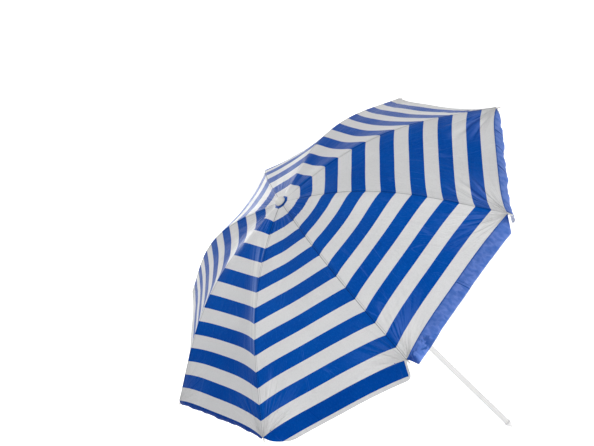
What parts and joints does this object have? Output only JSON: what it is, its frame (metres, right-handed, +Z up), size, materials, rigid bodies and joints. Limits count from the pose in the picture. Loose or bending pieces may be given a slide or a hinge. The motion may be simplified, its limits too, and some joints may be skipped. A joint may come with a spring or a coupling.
{
  "type": "beach umbrella",
  "caption": "Open beach umbrella with a domed, striped octagonal canopy and hanging flaps, on a two-part telescopic white pole with a tilt knuckle, clamp collar and pointed ground spike.",
  "frame": {"origin": "point of the ground spike, on the pole's axis", "axes": "+Z up along the pole towards the canopy; rib 1 points to -Y, and the clamp knob to -X"},
  "size_m": [1.669, 1.669, 1.5218],
  "materials": {
    "canopy_fabric": "coated polyester weave, blue stripes on white",
    "white_steel": "white powder coat, satin",
    "white_plastic": "moulded, semi-gloss",
    "grey_plastic": "moulded, matt",
    "zinc_steel": "zinc plated"
  },
  "bodies": {
    "lower_pole": {"ground_spike": "white_plastic", "lower_tube": "white_steel", "clamp_collar": "white_plastic", "clamp_nut": "zinc_steel"},
    "clamp_knob": {"clamp_screw": "zinc_steel", "clamp_knob": "white_plastic"},
    "inner_pole": {"inner_tube": "white_steel", "inner_tube_plug": "grey_plastic", "tilt_knuckle_lower": "white_plastic"},
    "mast": {"tilt_knuckle_upper": "white_plastic", "tilt_pin": "zinc_steel", "mast_tube": "white_steel", "catch_spring": "zinc_steel", "crown": "white_plastic", "crown_ring_wire": "zinc_steel", "canopy_washer": "white_plastic", "top_cap": "white_plastic"},
    "tilt_button": {"tilt_button": "grey_plastic"},
    "runner_catch": {"runner_catch": "zinc_steel"},
    "runner": {"runner": "white_plastic"},
    "rib_1": {"rib_1": "white_steel", "rib_tip_1": "white_plastic", "canopy_segment_1": "canopy_fabric"},
    "stretcher_1": {"stretcher_1": "white_steel", "stretcher_rivet_1": "zinc_steel"},
    "rib_2": {"rib_2": "white_steel", "rib_tip_2": "white_plastic", "canopy_segment_2": "canopy_fabric"},
    "stretcher_2": {"stretcher_2": "white_steel", "stretcher_rivet_2": "zinc_steel"},
    "rib_3": {"rib_3": "white_steel", "rib_tip_3": "white_plastic", "canopy_segment_3": "canopy_fabric"},
    "stretcher_3": {"stretcher_3": "white_steel", "stretcher_rivet_3": "zinc_steel"},
    "rib_4": {"rib_4": "white_steel", "rib_tip_4": "white_plastic", "canopy_segment_4": "canopy_fabric"},
    "stretcher_4": {"stretcher_4": "white_steel", "stretcher_rivet_4": "zinc_steel"},
    "rib_5": {"rib_5": "white_steel", "rib_tip_5": "white_plastic", "canopy_segment_5": "canopy_fabric"},
    "stretcher_5": {"stretcher_5": "white_steel", "stretcher_rivet_5": "zinc_steel"},
    "rib_6": {"rib_6": "white_steel", "rib_tip_6": "white_plastic", "canopy_segment_6": "canopy_fabric"},
    "stretcher_6": {"stretcher_6": "white_steel", "stretcher_rivet_6": "zinc_steel"},
    "rib_7": {"rib_7": "white_steel", "rib_tip_7": "white_plastic", "canopy_segment_7": "canopy_fabric"},
    "stretcher_7": {"stretcher_7": "white_steel", "stretcher_rivet_7": "zinc_steel"},
    "rib_8": {"rib_8": "white_steel", "rib_tip_8": "white_plastic", "canopy_segment_8": "canopy_fabric"},
    "stretcher_8": {"stretcher_8": "white_steel", "stretcher_rivet_8": "zinc_steel"}
  },
  "joints": [
    {"name": "height_slide", "type": "slide", "parent": "lower_pole", "child": "inner_pole", "axis": [0, 0, 1], "range_m": [0, 0.4]},
    {"name": "clamp_knob_turn", "type": "hinge", "parent": "lower_pole", "child": "clamp_knob", "pos_m": [-0.025, 0, 0.643], "axis": [-1, 0, 0], "range_deg": [0, 270]},
    {"name": "tilt_hinge", "type": "hinge", "parent": "inner_pole", "child": "mast", "pos_m": [0, 0, 0.698], "axis": [1, 0, 0], "range_deg": [-35, 0]},
    {"name": "tilt_button_press", "type": "slide", "parent": "mast", "child": "tilt_button", "axis": [0, -1, 0], "range_m": [0, 0.0022], "stiffness_N_per_m": 400},
    {"name": "runner_catch_out", "type": "slide", "parent": "mast", "child": "runner_catch", "axis": [0, 1, 0], "range_m": [0, 0.003], "stiffness_N_per_m": 400, "springref_m": 0.003},
    {"name": "runner_slide", "type": "slide", "parent": "mast", "child": "runner", "axis": [0, 0, -1], "range_m": [0, 0.4315]},
    {"name": "rib_fold_1", "type": "hinge", "parent": "mast", "child": "rib_1", "pos_m": [0, -0.018, 1.486], "axis": [1, 0, 0], "range_deg": [0, 64.1], "deforming": ["canopy_segment_1"]},
    {"name": "stretcher_fold_1", "type": "hinge", "parent": "rib_1", "child": "stretcher_1", "pos_m": [0, -0.35, 1.4392], "axis": [1, 0, 0], "range_deg": [-104.82, 0]},
    {"name": "rib_fold_2", "type": "hinge", "parent": "mast", "child": "rib_2", "pos_m": [0.01273, -0.01273, 1.486], "axis": [0.7071, 0.7071, 0], "range_deg": [0, 64.1], "deforming": ["canopy_segment_2"]},
    {"name": "stretcher_fold_2", "type": "hinge", "parent": "rib_2", "child": "stretcher_2", "pos_m": [0.24749, -0.24749, 1.4392], "axis": [0.7071, 0.7071, 0], "range_deg": [-104.82, 0]},
    {"name": "rib_fold_3", "type": "hinge", "parent": "mast", "child": "rib_3", "pos_m": [0.018, 0, 1.486], "axis": [0, 1, 0], "range_deg": [0, 64.1], "deforming": ["canopy_segment_3"]},
    {"name": "stretcher_fold_3", "type": "hinge", "parent": "rib_3", "child": "stretcher_3", "pos_m": [0.35, 0, 1.4392], "axis": [0, 1, 0], "range_deg": [-104.82, 0]},
    {"name": "rib_fold_4", "type": "hinge", "parent": "mast", "child": "rib_4", "pos_m": [0.01273, 0.01273, 1.486], "axis": [-0.7071, 0.7071, 0], "range_deg": [0, 64.1], "deforming": ["canopy_segment_4"]},
    {"name": "stretcher_fold_4", "type": "hinge", "parent": "rib_4", "child": "stretcher_4", "pos_m": [0.24749, 0.24749, 1.4392], "axis": [-0.7071, 0.7071, 0], "range_deg": [-104.82, 0]},
    {"name": "rib_fold_5", "type": "hinge", "parent": "mast", "child": "rib_5", "pos_m": [0, 0.018, 1.486], "axis": [-1, 0, 0], "range_deg": [0, 64.1], "deforming": ["canopy_segment_5"]},
    {"name": "stretcher_fold_5", "type": "hinge", "parent": "rib_5", "child": "stretcher_5", "pos_m": [0, 0.35, 1.4392], "axis": [-1, 0, 0], "range_deg": [-104.82, 0]},
    {"name": "rib_fold_6", "type": "hinge", "parent": "mast", "child": "rib_6", "pos_m": [-0.01273, 0.01273, 1.486], "axis": [-0.7071, -0.7071, 0], "range_deg": [0, 64.1], "deforming": ["canopy_segment_6"]},
    {"name": "stretcher_fold_6", "type": "hinge", "parent": "rib_6", "child": "stretcher_6", "pos_m": [-0.24749, 0.24749, 1.4392], "axis": [-0.7071, -0.7071, 0], "range_deg": [-104.82, 0]},
    {"name": "rib_fold_7", "type": "hinge", "parent": "mast", "child": "rib_7", "pos_m": [-0.018, 0, 1.486], "axis": [0, -1, 0], "range_deg": [0, 64.1], "deforming": ["canopy_segment_7"]},
    {"name": "stretcher_fold_7", "type": "hinge", "parent": "rib_7", "child": "stretcher_7", "pos_m": [-0.35, 0, 1.4392], "axis": [0, -1, 0], "range_deg": [-104.82, 0]},
    {"name": "rib_fold_8", "type": "hinge", "parent": "mast", "child": "rib_8", "pos_m": [-0.01273, -0.01273, 1.486], "axis": [0.7071, -0.7071, 0], "range_deg": [0, 64.1], "deforming": ["canopy_segment_8"]},
    {"name": "stretcher_fold_8", "type": "hinge", "parent": "rib_8", "child": "stretcher_8", "pos_m": [-0.24749, -0.24749, 1.4392], "axis": [0.7071, -0.7071, 0], "range_deg": [-104.82, 0]}
  ],
  "couplings": [
    {"joint": "rib_fold_1", "follows": "runner_slide", "rad_per_m": 2.5887},
    {"joint": "stretcher_fold_1", "follows": "runner_slide", "rad_per_m": -4.2357},
    {"joint": "rib_fold_2", "follows": "runner_slide", "rad_per_m": 2.5887},
    {"joint": "stretcher_fold_2", "follows": "runner_slide", "rad_per_m": -4.2357},
    {"joint": "rib_fold_3", "follows": "runner_slide", "rad_per_m": 2.5887},
    {"joint": "stretcher_fold_3", "follows": "runner_slide", "rad_per_m": -4.2357},
    {"joint": "rib_fold_4", "follows": "runner_slide", "rad_per_m": 2.5887},
    {"joint": "stretcher_fold_4", "follows": "runner_slide", "rad_per_m": -4.2357},
    {"joint": "rib_fold_5", "follows": "runner_slide", "rad_per_m": 2.5887},
    {"joint": "stretcher_fold_5", "follows": "runner_slide", "rad_per_m": -4.2357},
    {"joint": "rib_fold_6", "follows": "runner_slide", "rad_per_m": 2.5887},
    {"joint": "stretcher_fold_6", "follows": "runner_slide", "rad_per_m": -4.2357},
    {"joint": "rib_fold_7", "follows": "runner_slide", "rad_per_m": 2.5887},
    {"joint": "stretcher_fold_7", "follows": "runner_slide", "rad_per_m": -4.2357},
    {"joint": "rib_fold_8", "follows": "runner_slide", "rad_per_m": 2.5887},
    {"joint": "stretcher_fold_8", "follows": "runner_slide", "rad_per_m": -4.2357}
  ]
}
